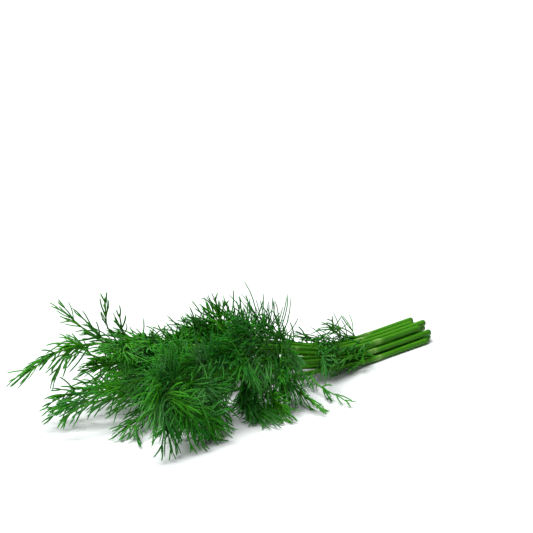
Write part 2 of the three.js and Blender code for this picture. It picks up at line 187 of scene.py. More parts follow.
def at_share(route, share):
    """Points and unit directions of a route at the given shares of its way."""
    slope = np.gradient(route, axis=0)
    where = np.asarray(share) * (len(route) - 1)
    steps = np.arange(len(route))
    point = np.stack([np.interp(where, steps, route[:, k]) for k in range(3)], -1)
    return point, unit(np.stack([np.interp(where, steps, slope[:, k]) for k in range(3)], -1))


def length_of(route):
    """The sum of the distances from each point to the next."""
    return np.linalg.norm(np.diff(route, axis=0), axis=1).sum()


corner = spline([(0, 0, 0), (10, 0, 0), (10, 10, 0)], 50)
print("a spline round a corner of 10 and 10 mm is", round(length_of(corner), 2), "mm long")

# %% [markdown]
# ## Routes of stems and stalks
#
# A stem runs from its cut over the bend and the neck, spreads out to the crown and sinks to its tip.
# A side leaf's stalk sets off along its stem, as it has grown, and turns out to its own tip. That is
# what a quadratic Bezier bend does with three points: the root, one point straight on along the stem,
# and the tip. Handles set by hand would give more freedom than a stalk has.

# %% Routes of stems and stalks
STEM_RADIUS = 1.75
STEM_TIP_RADIUS = 0.32
STEM_RINGS = 90
RESTING = 0.97  # the axis of a stem that lies on the surface is this share of its radius above it
SPREAD_SHARE = 0.38  # the guide point between neck and crown, as a share of that way
SPREAD_LIFT = 1.5
STALK_RINGS = 26
STALK_STEPS = 60
STALK_REACH = 0.38  # how far a stalk keeps to its stem, as a share of the distance to its tip
STALK_LIFTED_FROM = 0.25  # from this share of its way on, a stalk is wholly clear of the surface
END_LEAFLET = 12.0  # length of the last leaflet of a leaf, which grows on to its tip


def short_of(tip, start):
    """The tip, moved END_LEAFLET back towards start."""
    return np.array(tip) + unit(np.array(start) - np.array(tip, float)) * END_LEAFLET


def pile_y(x):
    """Y of the pile's middle at X: a straight line through PILE_Y at the neck."""
    return PILE_Y + PILE_SLANT * (x - PILE_NECK_X)


def stem_route(number):
    """A stem's axis, through its six guide points. Stems of a row are PILE_PITCH apart, and rows are
    that times sin 60 apart in height."""
    cut, crown, tip, *_ = STEMS[number]
    row = int(np.searchsorted(np.cumsum(PILE_ROWS), number, side="right"))
    place = number - sum(PILE_ROWS[:row])
    across = (place - (PILE_ROWS[row] - 1) / 2) * PILE_PITCH
    height = PILE_HEIGHT + row * PILE_PITCH * math.sin(math.pi / 3)
    bend = [PILE_BEND_X, pile_y(PILE_BEND_X) + across, height + PILE_BEND_LIFT]
    neck = np.array([PILE_NECK_X, pile_y(PILE_NECK_X) + across * PILE_NECK_SPREAD,
                     height * PILE_NECK_SPREAD + PILE_NECK_LIFT])
    spread = neck + (np.array(crown) - neck) * SPREAD_SHARE + [0, 0, SPREAD_LIFT]
    start = [cut, pile_y(cut) + across, height]
    points = spline([start, bend, neck, spread, crown, short_of(tip, crown)], STEM_RINGS)
    points[:, 2] = np.maximum(points[:, 2], STEM_RADIUS * RESTING)
    return points


def stalk_route(stem, x, tip):
    """A side leaf's axis, and the share of its stem that it leaves at, where the stem passes x. With
    root r, bend b and tip e it is r (1 - t)^2 + 2 b t (1 - t) + e t^2, blended over into the same curve
    lifted."""
    step = int(np.argmax(stem[:, 0] < x)) - 1
    share = (step + (stem[step, 0] - x) / (stem[step, 0] - stem[step + 1, 0])) / (len(stem) - 1)
    root, direction = at_share(stem, share)
    bend = root + direction * STALK_REACH * np.linalg.norm(np.array(tip) - root)
    t = np.linspace(0, 1, STALK_STEPS)[:, None]
    arc = root * (1 - t) ** 2 + 2 * bend * t * (1 - t) + short_of(tip, bend) * t**2
    blend = np.minimum(t / STALK_LIFTED_FROM, 1)
    return spaced(arc * (1 - blend) + lifted(arc) * blend, STALK_RINGS), share


routes = [stem_route(number) for number in range(len(STEMS))]
print("stems are", [round(length_of(route)) for route in routes], "mm long")

# %% [markdown]
# ## A skin round many lines at once
#
# Stems, stalks and threads are all round things on a line, so one function skins them all. It carries
# a ring along each line and turns it as little as it can, which keeps ribs straight and a thread from
# twisting shut. A curve object with a bevel could do this for one stem, but thousands of them would
# be slow to make and to join. Here the rings of all the lines are one array of shape (lines, rings,
# sides, 3).

# %% What a piece is collected in


class Mesh:
    """Collects points, faces and point values of one piece, all as arrays."""

    def __init__(self):
        self.points, self.quads, self.tris, self.values, self.count = [], [], [], [], 0

    def add(self, points, quads, tris, **values):
        """Takes in points, faces that number them from 0, and named values, one for each point."""
        self.points.append(points)
        self.quads.append(quads + self.count)
        self.tris.append(tris + self.count)
        self.values.append(values)
        self.count += len(points)


print("an empty piece has", Mesh().count, "points")

# %% The skin


def carried_sides(lines, first):
    """Two directions square to each line at each ring. The first is given, and each next one is the
    last one made square to the line's new direction, so the ring turns no more than the line does."""
    along = unit(np.gradient(lines, axis=1))
    side = np.empty_like(lines)
    side[:, 0] = square_to(first, along[:, 0])
    for ring in range(1, lines.shape[1]):
        side[:, ring] = square_to(side[:, ring - 1], along[:, ring])
    return side, np.cross(along, side)


def ring_faces(lines, rings, sides):
    """Quads between rings, a fan of triangles to the pointed end, and one more that closes the root.
    Point number ring * sides + side is on a ring, and rings * sides is the tip."""
    first = np.arange(lines) * (rings * sides + 1)
    row, col = np.meshgrid(np.arange(rings - 1), np.arange(sides), indexing="ij")
    here, nxt = row * sides + col, row * sides + (col + 1) % sides
    quads = np.stack([here, here + sides, nxt + sides, nxt], -1).reshape(-1, 4)
    last = (rings - 1) * sides
    side = np.arange(sides)
    fan = np.stack([last + side, np.full(sides, rings * sides), last + (side + 1) % sides], -1)
    root = np.array([[0, k, k + 1] for k in range(1, sides - 1)])
    tris = np.concatenate([fan, root])
    return (first[:, None, None] + quads).reshape(-1, 4), (first[:, None, None] + tris).reshape(-1, 3)


def skin(mesh, lines, first, wide, high, sides, **values):
    """Adds a closed skin to each line, pointed at the far end. A ring is
    centre + across * wide * cos(turn) + over * high * sin(turn), where wide and high are given for each
    line and ring but the last, which is the tip. The value along runs from 0 at the root to 1 at the
    tip, and others are one for each line."""
    lines = np.asarray(lines, float)
    across, over = carried_sides(lines, first)
    count, rings = lines.shape[0], lines.shape[1] - 1
    turn = 2 * np.pi * np.arange(sides) / sides
    wide, high = (np.broadcast_to(w, (count, rings))[..., None, None] for w in (wide, high))
    spoke = (np.cos(turn)[:, None] * across[:, :-1, None] * wide
             + np.sin(turn)[:, None] * over[:, :-1, None] * high)
    rims = (lines[:, :-1, None] + spoke).reshape(count, -1, 3)
    points = np.concatenate([rims, lines[:, -1:]], 1).reshape(-1, 3)
    quads, tris = ring_faces(count, rings, sides)
    run = np.linspace(0, 1, rings + 1)
    spread = {"along": np.concatenate([np.repeat(run[:-1], sides), run[-1:]])[None].repeat(count, 0)}
    for name, value in values.items():
        value = np.asarray(value, float).reshape(-1, 1)
        spread[name] = np.broadcast_to(value, (count, rings * sides + 1))
    mesh.add(points, quads, tris, **{name: value.reshape(-1) for name, value in spread.items()})


quads, tris = ring_faces(1, 5, 4)
print("a thread of 5 rings with 4 sides has", len(quads), "quads and", len(tris), "triangles")

# %% [markdown]
# ## Branching
#
# Every part of a leaf is a branch: a line that starts at a root, sets off in one direction and bends
# a little on its way. Its children leave it in pairs, left and right in the plane of the leaf.
# Growing them could be a recursion over branches. As arrays it is one call per level: the leaflets of
# a leaf, then their sprays, then the threads. What makes it look like dill is how a child goes on: it
# leaves at a wide angle and curls back to run beside its parent, so the threads of a spray end up
# nearly parallel.

# %% Branches as arrays
DOWN = np.array([0.0, 0.0, -1.0])
BRANCH_VALUES = ("root", "aim", "bend", "face", "length", "youth")


class Branches:
    """Many branches. A point at share s is root + length * (aim * s + bend * s^2), kept off the
    surface. face is square to the leaf's plane, and youth is how yellow its green is."""

    def __init__(self, root, aim, bend, face, length, youth):
        self.root, self.aim, self.bend, self.face = root, unit(aim), bend, square_to(face, unit(aim))
        self.length, self.youth = length, youth

    def column(self, shares):
        """Shares as a column for each branch, from one list for all of them or a list for each."""
        return np.broadcast_to(shares, (len(self.root), np.shape(shares)[-1]))[..., None]

    def line(self, shares):
        """The points at the shares."""
        s = self.column(shares)
        way = self.aim[:, None] * s + self.bend[:, None] * s**2
        return lifted(self.root[:, None] + self.length[:, None, None] * way)

    def direction(self, shares):
        """The unit directions at the shares: aim + 2 * bend * s, made unit."""
        return unit(self.aim[:, None] + 2 * self.bend[:, None] * self.column(shares))

    def picked(self, keep):
        """The branches where keep is true."""
        return Branches(*(getattr(self, name)[keep] for name in BRANCH_VALUES))


def joined(groups):
    """Several groups of branches as one."""
    return Branches(*(np.concatenate([getattr(g, name) for g in groups]) for name in BRANCH_VALUES))


print("a branch is kept as its", ", ".join(BRANCH_VALUES))

# %% Children in pairs
PAIR_STAGGER = 0.012  # how far the two of a pair stand from their place, as a share of the parent
PLACE_SPREAD = 0.02  # the random part of that place
PLACE_ENDS = (0.01, 0.99)
SWING = 1.6  # the widest random part of an angle, a rise or a length, in units of jitter or rise
BEND_SPREAD = 0.9  # the random part of a bend, in units of jitter
YOUTH_SPREAD = 0.14  # the random part of a child's youth


def fork(parents, shares, angles, lengths, rng, curl, droop, rise, jitter):
    """Pairs of children. Each sets off at its angle from the parent's direction, with
    aim = along * cos + across * sin + face * lift, curls back by curl * (along - aim), and hangs by
    droop. rise scales the lift out of the leaf's plane, and jitter the random part of angle, bend and
    length. A length is a share of the parent's."""
    count, pairs = len(parents.root), len(shares)
    side = np.tile([-1.0, 1.0], pairs)
    share = np.repeat(shares, 2) + side * PAIR_STAGGER
    share = np.clip(share + rng.normal(0, PLACE_SPREAD, (count, pairs * 2)), *PLACE_ENDS)
    root, along = parents.line(share), parents.direction(share)
    face = square_to(parents.face[:, None] + 0 * along, along)
    across = np.cross(face, along)
    angle = np.repeat(angles, 2) * (1 + jitter * rng.uniform(-SWING, SWING, share.shape))
    lift = rise * rng.uniform(-SWING, SWING, share.shape)
    aim = unit(along * np.cos(angle)[..., None] + across * (side * np.sin(angle))[..., None]
               + face * lift[..., None])
    bend = curl * (along - aim) + droop * DOWN + jitter * BEND_SPREAD * rng.normal(0, 1, aim.shape)
    varied = 1 + jitter * rng.uniform(-SWING, SWING, share.shape)
    length = parents.length[:, None] * np.repeat(lengths, 2) * varied
    face = face + across * (side * lift)[..., None]
    youth = np.repeat(parents.youth, pairs * 2) + rng.normal(0, YOUTH_SPREAD, share.size)
    return Branches(*(a.reshape(-1, 3) for a in (root, aim, bend, face)), length.reshape(-1), youth)


print("the two of a pair stand", 2 * PAIR_STAGGER * 100, "% of their parent apart")

# %% [markdown]
# ## The leaflets of a leaf
#
# Leaflets stand in opposite pairs along a leaf, and get shorter and closer together towards its tip.
# They could be scattered by a particle system, but that knows neither pairs nor the plane of the
# leaf. Here one array says how far up the leaf each pair stands, and a leaflet's place, length and
# angle all follow from it. The leaf's face looks out of the bunch. An airy leaf has fewer, slightly
# shorter leaflets at a narrower angle, and is turned on edge, so that it stays a thin sprig from
# every side.

# %% Leaflets along a leaf's axis
SIDE_SPACING = 5.4  # from one pair of leaflets to the next
LEAST_PAIRS = 2
CLOSING_UP = 1.4  # pairs stand closer towards the tip, and at 1 they would stand evenly
LEAFLET_STAGGER = 0.01
LEAFLET_SHARE = 0.56  # the longest leaflet, as a share of the leafy length
LEAFLET_LEAST = 14.0
LEAFLET_MOST = 31.0
LEAFLET_SHORTENING = 0.7  # the power of the way left to the tip that lengths follow
LEAFLET_SPREAD = 0.15  # the random part of a length
LOWEST_LEAFLET = 0.9  # the lowest pair is this much of the longest
AIRY_SHORTER = 0.2  # the power of a leaf's fullness that its lengths follow
AIRY_NARROWER = 0.7  # and the power that its angles follow
LEAFLET_ANGLES = (0.9, 0.6)  # from the leaf's axis, at its foot and at its tip
LEAFLET_LEAN = 0.15  # out of the leaf's plane
LEAFLET_ROLL = 0.5  # the random part of a turn about the leaf's axis
EDGE_TURN = 5.0  # how far an airy leaf is turned, for each unit that it is less full than TURNED_FULL
TURNED_FULL = 0.6
HEART_Z = 15.0  # height of the middle that leaves look away from
LEAFLET_CURL, LEAFLET_DROOP, LEAFLET_BEND_SPREAD = 0.26, 0.18, 0.05
LEAFLET_YOUTH_SPREAD = 0.12
END_SHARE = 0.97  # where on the leaf its last leaflet starts
END_DROOP = 0.12


def leaflets_of(route, start, spacing, full, youth, rng):
    """The leaflets of one leaf. There are leafy length / spacing * full pairs. up runs from 0 at the
    lowest pair towards 1 at the tip, as 1 - (1 - pair / pairs)^1.4, and a leaflet's length is
    longest * (1 - up)^0.7. Its aim is along * cos(angle) + across * sin(angle) + face * lean, where
    across is square to both."""
    leafy = length_of(route) * (1 - start)
    pairs = max(round(leafy / spacing * full), LEAST_PAIRS)
    up = np.repeat(1 - (1 - np.arange(pairs) / pairs) ** CLOSING_UP, 2)
    side = np.tile([-1.0, 1.0], pairs)
    root, along = at_share(route, np.clip(start + (1 - start) * up + LEAFLET_STAGGER * side, 0, 1))

    outward = square_to(np.stack([0 * root[:, 0], root[:, 1] - PILE_Y, root[:, 2] - HEART_Z], 1), along)
    roll = LEAFLET_ROLL * rng.uniform(-1, 1, len(up))[:, None] - EDGE_TURN * max(TURNED_FULL - full, 0)
    face = outward * np.cos(roll) + np.cross(along, outward) * np.sin(roll)
    angle = (np.interp(up, [0, 1], LEAFLET_ANGLES) * full**AIRY_NARROWER)[:, None]
    across = np.cross(along, face) * side[:, None]
    aim = along * np.cos(angle) + across * np.sin(angle) + face * LEAFLET_LEAN

    slim = full**AIRY_SHORTER
    longest = np.clip(leafy * LEAFLET_SHARE, LEAFLET_LEAST, LEAFLET_MOST) * slim
    varied = (1 + LEAFLET_SPREAD * rng.uniform(-1, 1, len(up))) * np.minimum(LOWEST_LEAFLET + up, 1)
    length = np.maximum(longest * (1 - up) ** LEAFLET_SHORTENING * varied, LEAFLET_LEAST * slim)
    bend = (LEAFLET_CURL * (along - unit(aim)) + LEAFLET_DROOP * DOWN
            + LEAFLET_BEND_SPREAD * rng.normal(0, 1, aim.shape))
    varied_youth = youth + rng.normal(0, LEAFLET_YOUTH_SPREAD, len(up))
    grown = Branches(root, aim, bend, face, length, varied_youth)

    end_root, end_aim = at_share(route, np.array([END_SHARE]))
    end = Branches(end_root, end_aim, END_DROOP * DOWN[None], outward[-1:], np.array([END_LEAFLET]),
                   np.array([youth]))
    return joined([grown, end])


print("a full side leaf has a pair of leaflets every", SIDE_SPACING, "mm, up to", LEAFLET_MOST,
      "mm long")

# %% [markdown]
# ## Sprays and threads
#
# A leaflet of dill bears pairs of sprays, and a spray bears pairs of threads, the lowest ones
# longest. In the end there is nothing but threads, two thirds of a millimetre thick. A picture of
# them on flat cards would be cheap, but it has an edge from every other side. So each thread is a
# real one with four sides and a point. The tables say where each pair stands on its parent, at which
# angle, and how long it is. Short parents have only the lowest pairs, and on an airy leaf only long
# ones have any.

# %% Sprays and threads
SPRAY_SHARES = np.array([0.08, 0.28, 0.50, 0.72])
SPRAY_ANGLES = np.array([0.74, 0.62, 0.52, 0.42])
SPRAY_LENGTHS = np.array([0.94, 0.88, 0.78, 0.62])
SPRAY_FROM = np.array([0.0, 14.5, 19.0, 25.0])  # the shortest leaflet that has each pair of sprays
SPRAY_HABIT = {"curl": 0.45, "droop": 0.12, "rise": 0.16, "jitter": 0.08}
FORK_SHARES = np.array([0.16, 0.38, 0.60])
FORK_ANGLES = np.array([0.62, 0.52, 0.42])
FORK_LENGTHS = np.array([0.84, 0.68, 0.50])
FORK_FROM = np.array([12.0, 19.0, 28.0])  # the shortest spray that has each pair of threads
FORK_HABIT = {"curl": 0.45, "droop": 0.10, "rise": 0.14, "jitter": 0.09}
TIP_SHARES, TIP_ANGLES, TIP_LENGTHS = np.array([0.70]), np.array([0.34]), np.array([0.50])
TIP_HABIT = {"curl": 0.40, "droop": 0.10, "rise": 0.16, "jitter": 0.12}
AIRY_CLOSED = 0.3  # the power of a leaf's fullness that the angles follow


def long_enough(parents, least):
    """Which children have a parent as long as their pair asks, in the order fork gives them."""
    return (parents.length[:, None] >= np.repeat(least, 2)).reshape(-1)


def threads_on(leaflets, full, rng):
    """The sprays on the leaflets, the threads on the sprays and each leaflet's last pair, as one."""
    closed = full**AIRY_CLOSED
    sprays = fork(leaflets, SPRAY_SHARES, SPRAY_ANGLES * closed, SPRAY_LENGTHS, rng, **SPRAY_HABIT)
    sprays = sprays.picked(long_enough(leaflets, SPRAY_FROM / full))
    forks = fork(sprays, FORK_SHARES, FORK_ANGLES * closed, FORK_LENGTHS, rng, **FORK_HABIT)
    forks = forks.picked(long_enough(sprays, FORK_FROM / full))
    tips = fork(leaflets, TIP_SHARES, TIP_ANGLES, TIP_LENGTHS, rng, **TIP_HABIT)
    return joined([sprays, forks, tips])


print("a long leaflet bears", 2 * len(SPRAY_FROM), "sprays of up to", 2 * len(FORK_FROM),
      "threads each")

# %% Their skins
THREAD_RADIUS = 0.36
THREAD_RADIUS_RANGE = (0.85, 1.1)
AIRY_THREADS = 0.1  # how much thicker threads are on an airy leaf
THREAD_SHARES = np.array([0, 0.2, 0.42, 0.64, 0.86, 1.0])
THREAD_TAPER = np.array([0.9, 1.0, 1.0, 0.95, 0.8])
THREAD_FLATNESS = 0.8  # its height over its width
THREAD_SIDES = 4
LEAFLET_SHARES = np.linspace(0, 1, 8)
LEAFLET_RADIUS = np.interp(LEAFLET_SHARES[:-1], [0, 0.6, 1], [0.42, 0.36, 0.22])
LEAFLET_FLATNESS = 0.85
LEAFLET_SIDES = 6
THREAD_PAINT, LEAFLET_PAINT = 1.0, 0.8  # how much of a leaf's green each has, rather than a stem's


def grow_threads(mesh, leaflets, full, rng):
    """Grows the threads on the leaflets, skins both and says how many there are. A thread's radius is
    THREAD_RADIUS, varied at random, times THREAD_TAPER, and a leaflet's is LEAFLET_RADIUS."""
    threads = threads_on(leaflets, full, rng)
    thick = THREAD_RADIUS * (1 + AIRY_THREADS * (1 - full))
    radius = thick * rng.uniform(*THREAD_RADIUS_RANGE, len(threads.root))[:, None]
    skin(mesh, threads.line(THREAD_SHARES), np.cross(threads.face, threads.aim),
         radius * THREAD_TAPER, THREAD_FLATNESS * radius * THREAD_TAPER, THREAD_SIDES,
         youth=threads.youth, thread=THREAD_PAINT)
    skin(mesh, leaflets.line(LEAFLET_SHARES), np.cross(leaflets.face, leaflets.aim),
         LEAFLET_RADIUS, LEAFLET_FLATNESS * LEAFLET_RADIUS, LEAFLET_SIDES,
         youth=leaflets.youth, thread=LEAFLET_PAINT)
    return len(threads.root) + len(leaflets.root)


print("threads are", 2 * THREAD_RADIUS, "mm wide, and flatter by", THREAD_FLATNESS)

# %% [markdown]
# ## Stems and stalks
#
# A dill stem is round and finely ribbed, a little thicker at each node, and paler there. Where a leaf
# leaves it, the foot of its stalk is a sheath that wraps the stem. The ribs could be a bump in the
# material, but they show in the outline and at the cut. So they are real: every second point of a
# ring stands a little further in, and the same points carry the value that later paints the groove.

# %% Ribbed stems with nodes and cut ends
STEM_SIDES = 28
STEM_SIDE_WAY = np.array([[0.0, 1.0, 0.2]])  # which way the first point of a ring looks
STEM_THINNING = 1.3  # the power of the way left to the tip that the radius follows
RIB_DEPTH = 0.06  # share of the radius
NODE_SWELL = 0.16  # share of the radius
NODE_LENGTH = 3.0
UNDERSIDE_HEIGHT = 0.01  # where the underside of a lying stem is pressed flat
PITH_RING = 0.62  # share of the radius
CUT_HOLLOW = 0.35  # how far the middle of the pith has dried in


def stem_skin(mesh, route, nodes, youth):
    """The ribbed stem. Its radius falls as (1 - share)^1.3 from the cut to the tip, swells at each node
    as a bell curve, and is RIB_DEPTH smaller at every second side. A ring of pith and a middle point
    close the cut."""
    run = np.linspace(0, length_of(route), len(route))
    share = run / run[-1]
    radius = STEM_TIP_RADIUS + (STEM_RADIUS - STEM_TIP_RADIUS) * (1 - share) ** STEM_THINNING
    swell = np.exp(-(((run[:, None] - np.array(nodes) * run[-1]) / NODE_LENGTH) ** 2)).sum(1)
    across, over = carried_sides(route[None], STEM_SIDE_WAY)
    turn = 2 * np.pi * np.arange(STEM_SIDES) / STEM_SIDES
    groove = np.arange(STEM_SIDES) % 2
    spoke = np.cos(turn)[:, None] * across[0, :, None] + np.sin(turn)[:, None] * over[0, :, None]
    size = (radius * (1 + NODE_SWELL * swell))[:, None] * (1 - RIB_DEPTH * groove)
    rims = route[:, None] + spoke * size[..., None]
    rims[..., 2] = np.maximum(rims[..., 2], UNDERSIDE_HEIGHT)
    inner = route[0] + spoke[0] * size[0][:, None] * PITH_RING
    middle = route[0] + unit(route[1] - route[0]) * CUT_HOLLOW
    points = np.concatenate([rims.reshape(-1, 3), route[-1:], inner, middle[None]])

    quads, tris = ring_faces(1, len(route), STEM_SIDES)
    cut, side = len(route) * STEM_SIDES + 1, np.arange(STEM_SIDES)
    nxt = (side + 1) % STEM_SIDES
    quads = np.concatenate([quads, np.stack([side, nxt, cut + nxt, cut + side], 1)])
    pith_fan = np.stack([cut + side, cut + nxt, np.full(STEM_SIDES, cut + STEM_SIDES)], 1)
    tris = np.concatenate([tris[:STEM_SIDES], pith_fan])  # of the old ones only the tip's fan is kept
    tail = STEM_SIDES + 2  # the tip, the inner ring and the middle
    mesh.add(points, quads, tris,
             along=np.concatenate([np.repeat(share, STEM_SIDES), [1], np.zeros(tail - 1)]),
             groove=np.concatenate([np.tile(groove, len(route)), np.zeros(tail)]),
             node=np.concatenate([np.repeat(np.minimum(swell, 1), STEM_SIDES), np.zeros(tail)]),
             pith=np.concatenate([np.zeros(len(route) * STEM_SIDES + 1), np.ones(tail - 1)]),
             youth=np.full(len(points), youth), thread=np.zeros(len(points)))


print("a stem has", STEM_SIDES // 2, "ribs of", round(RIB_DEPTH * STEM_RADIUS, 2), "mm")

# %% Stalks and their sheaths
STALK_RADIUS = 0.75
STALK_TIP_RADIUS = 0.32
STALK_SIDES = 10
STALK_SIDE_WAY = np.array([[0.1, 0.9, 0.4]])
SHEATH_LENGTH = 13.0
SHEATH_MOST = 0.6  # share of the stalk
SHEATH_TAPER = 1.5
SHEATH_WIDTH = 1.1  # share of the stem's radius
STALK_PAINT = 0.6
STALK_PALE = 0.1


def stalk_skin(mesh, route, stem_radius, youth):
    """A side leaf's stalk. Its radius falls evenly along its run, and its foot is a sheath just wider
    than the stem, which narrows to the stalk as (1 - run / sheath)^1.5."""
    run = np.linspace(0, length_of(route), len(route))[:-1]
    foot = np.clip(1 - run / min(SHEATH_LENGTH, run[-1] * SHEATH_MOST), 0, 1) ** SHEATH_TAPER
    radius = STALK_RADIUS + (STALK_TIP_RADIUS - STALK_RADIUS) * run / run[-1]
    radius = radius + (stem_radius * SHEATH_WIDTH - radius) * foot
    skin(mesh, route[None], STALK_SIDE_WAY, radius, radius, STALK_SIDES,
         youth=youth, thread=STALK_PAINT, node=STALK_PALE)


print("a stalk is", 2 * STALK_RADIUS, "mm thick and its sheath", SHEATH_LENGTH, "mm long")

# %% [markdown]
# ## One leafy stem
#
# A picked stem is one living thing: stem, sheaths, stalks and all its threads hold together. The
# bunch could be one mesh, but a mesh for each stem can take the place of that stem's solid, and stays
# small. Every stem has a random generator of its own, so a change to one leaves the others as they
# are. Leaves that grow near the neck are thinned out, because there the stems are seen between them.

# %% One leafy stem
SEED = 20
TERMINAL_LEAF = 74.0  # length of a stem's own leafy end
TERMINAL_SPACING = 6.0  # from one pair of its leaflets to the next
BARE_STALK = 0.24  # share of a side leaf that has no leaflets
LOW_LEAF_X = 55.0  # leaves that leave their stem nearer the cut than this are sparser
LOW_LEAF_FULL = 0.8
LEAF_YOUTH_SPREAD = 0.35


def leafy_stem(number):
    """The arrays of one stem with everything that grows on it, and how many threads it has."""
    rng = np.random.default_rng(SEED + number)
    mesh = Mesh()
    route = routes[number]
    youth = STEM_YOUTH[number]
    full, side_leaves = STEMS[number][3:]
    leaves = [(*stalk_route(route, x, tip), leaf_full * (LOW_LEAF_FULL if x > LOW_LEAF_X else 1))
              for x, tip, leaf_full in side_leaves]
    stem_skin(mesh, route, [share for _, share, _ in leaves], youth)
    start = 1 - TERMINAL_LEAF / length_of(route)
    leaflets = leaflets_of(route, start, TERMINAL_SPACING, full, youth, rng)
    threads = grow_threads(mesh, leaflets, full, rng)
    for stalk, share, leaf_full in leaves:
        stem_radius = STEM_RADIUS + (STEM_TIP_RADIUS - STEM_RADIUS) * share
        leaf_youth = youth + rng.uniform(-LEAF_YOUTH_SPREAD, LEAF_YOUTH_SPREAD)
        stalk_skin(mesh, stalk, stem_radius, youth)
        leaflets = leaflets_of(stalk, BARE_STALK, SIDE_SPACING, leaf_full, leaf_youth, rng)
        threads += grow_threads(mesh, leaflets, leaf_full, rng)
    return mesh, threads


print("the first stem has", leafy_stem(0)[1], "threads")

# %% [markdown]
# ## From arrays to a Blender mesh
#
# from_pydata would do, but it walks Python lists. foreach_set copies whole arrays, which for a third
# of a million triangles is the difference between seconds and a blink. Point values go in as
# attributes, and the material reads them. Each piece stays at the origin, unturned, with its place in
# its points.

# %% Making the pieces
VALUES = ("along", "groove", "node", "pith", "youth", "thread")


def piece_from(mesh, name):
    """A Blender object from the collected arrays, in metres, and how many triangles it has."""
    points = (np.concatenate(mesh.points) - BUNCH_MIDDLE) * MM
    quads, tris = np.concatenate(mesh.quads), np.concatenate(mesh.tris)
    corners = np.concatenate([quads.reshape(-1), tris.reshape(-1)]).astype(np.int32)
    starts = np.concatenate([np.arange(len(quads)) * 4, len(quads) * 4 + np.arange(len(tris)) * 3])
    data = bpy.data.meshes.new(name)
    data.vertices.add(len(points))
    data.loops.add(len(corners))
    data.polygons.add(len(starts))
    data.vertices.foreach_set("co", points.astype(np.float32).reshape(-1))
    data.loops.foreach_set("vertex_index", corners)
    data.polygons.foreach_set("loop_start", starts.astype(np.int32))
    data.polygons.foreach_set("use_smooth", np.ones(len(starts), bool))
    for value in VALUES:
        column = [added.get(value, np.zeros(len(p))) for added, p in zip(mesh.values, mesh.points)]
        attribute = data.attributes.new(value, "FLOAT", "POINT")
        attribute.data.foreach_set("value", np.concatenate(column).astype(np.float32))
    data.update(calc_edges=True)
    data.validate()
    piece = bpy.data.objects.new(name, data)
    bpy.context.scene.collection.objects.link(piece)
    return piece, 2 * len(quads) + len(tris)


pieces, all_threads, all_faces = [], 0, 0
for number in range(len(STEMS)):
    grown, threads = leafy_stem(number)
    piece, faces = piece_from(grown, f"leafy_stem_{number + 1:02d}")
    pieces.append(piece)
    all_threads += threads
    all_faces += faces
    print(piece.name, threads, "threads", faces, "triangles")
print("in all", all_threads, "threads and", all_faces, "triangles")

# %% [markdown]
# ## Nodes in one line each
#
# A material could be wired by hand in the shader editor. In code, a helper for each kind of node
# keeps the recipe readable: an input is either another node's output, which is linked, or a plain
# value. Patterns read Object coordinates, so they need no unwrapping and stay in place on every
# piece.

# %% Helpers for nodes


def feed(tree, sockets, values):
    """Links each socket to its value if that is another node's output, and otherwise sets it."""
    for socket, value in zip(sockets, values):
        if isinstance(value, bpy.types.NodeSocket):
            tree.links.new(value, socket)
        else:
            socket.default_value = value


def mix_color(tree, factor, a, b):
    """The colour a * (1 - factor) + b * factor. Inputs 6 and 7 and output 2 are those for colours."""
    node = tree.nodes.new("ShaderNodeMix")
    node.data_type = "RGBA"
    feed(tree, (node.inputs[0], node.inputs[6], node.inputs[7]), (factor, a, b))
    return node.outputs[2]


def math_node(tree, operation, a, b=0.0, clamp=False, c=0.0):
    """The operation on a and b, and on c where it takes three: MULTIPLY_ADD is a * b + c."""
    node = tree.nodes.new("ShaderNodeMath")
    node.operation = operation
    node.use_clamp = clamp
    feed(tree, node.inputs, (a, b, c))
    return node.outputs[0]


def part_of(tree, value, share):
    """The value times the share."""
    return math_node(tree, "MULTIPLY", value, share)


def value_of(tree, name):
    """A point value that the mesh carries."""
    node = tree.nodes.new("ShaderNodeAttribute")
    node.attribute_name = name
    return node.outputs["Fac"]


def noise_of(tree, scale, detail):
    """A cloudy pattern from 0 to 1 in Object coordinates, with scale patches to a metre."""
    coordinates = tree.nodes.new("ShaderNodeTexCoord")
    noise = tree.nodes.new("ShaderNodeTexNoise")
    feed(tree, (noise.inputs["Scale"], noise.inputs["Detail"]), (scale, detail))
    tree.links.new(coordinates.outputs["Object"], noise.inputs["Vector"])
    return noise.outputs["Fac"]


print("values that the material can read:", ", ".join(VALUES))

# %% [markdown]
# ## The green of dill
#
# Dill is a deep, slightly bluish green. Its young parts and its stems are yellower, and its thread
# ends are lighter. Pale grey-green patches are mixed in, partly a thin waxy bloom and partly painted
# sheen that stands in for soft highlights; there the surface is also rougher and shines less. The
# grooves of a stem are darker than its ribs, nodes are paler, and the cut shows pale pith. A painted
# texture could hold all this, but six thousand threads would have to be unwrapped. So one material
# mixes it from the values that the mesh carries and a few noises. Threads are thin enough to let
# light through, which subsurface scattering gives.

# %% The dill material
GREEN_NOISE = (60, 3)  # scale and detail of how young the green looks from place to place
LEAF_OLD = (0.003, 0.070, 0.006, 1)
LEAF_YOUNG = (0.045, 0.245, 0.001, 1)
THREAD_END = (0.030, 0.230, 0.026, 1)
THREAD_END_SHARE = 0.4
